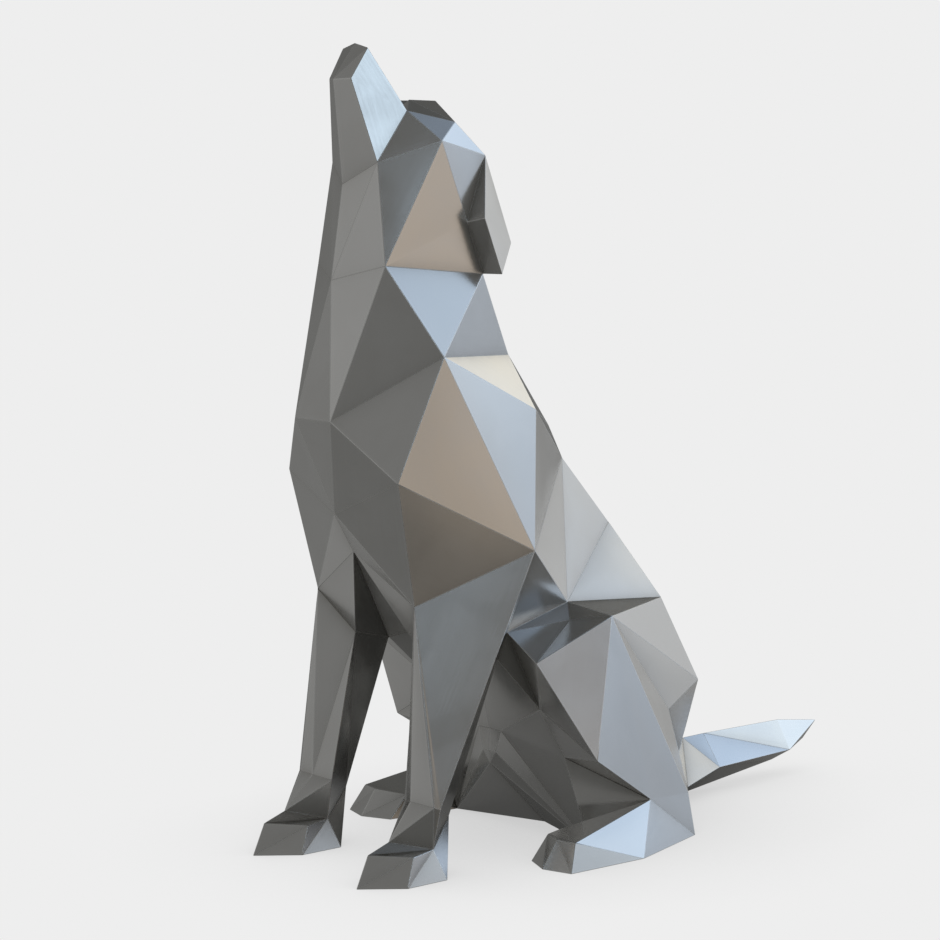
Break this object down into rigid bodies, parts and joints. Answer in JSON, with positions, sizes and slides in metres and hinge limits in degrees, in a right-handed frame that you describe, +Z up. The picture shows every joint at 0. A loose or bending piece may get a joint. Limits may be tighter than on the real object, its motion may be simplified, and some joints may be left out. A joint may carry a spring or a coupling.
{
  "type": "dog sculpture",
  "caption": "Seated dog sculpture of flat welded steel plates, muzzle raised and tail laid back; it stands on its paws and seat.",
  "frame": {"origin": "middle of the footprint on the ground, below the belly", "axes": "+Z up; the dog looks along -Y and its left side faces +X; the X = 0 plane is its plane of symmetry"},
  "size_m": [0.47, 0.969, 1.0563],
  "materials": {
    "brushed_steel": "fine satin grind with bright weld seams"
  },
  "bodies": {
    "root": {"dog_sculpture": "brushed_steel"}
  },
  "joints": []
}
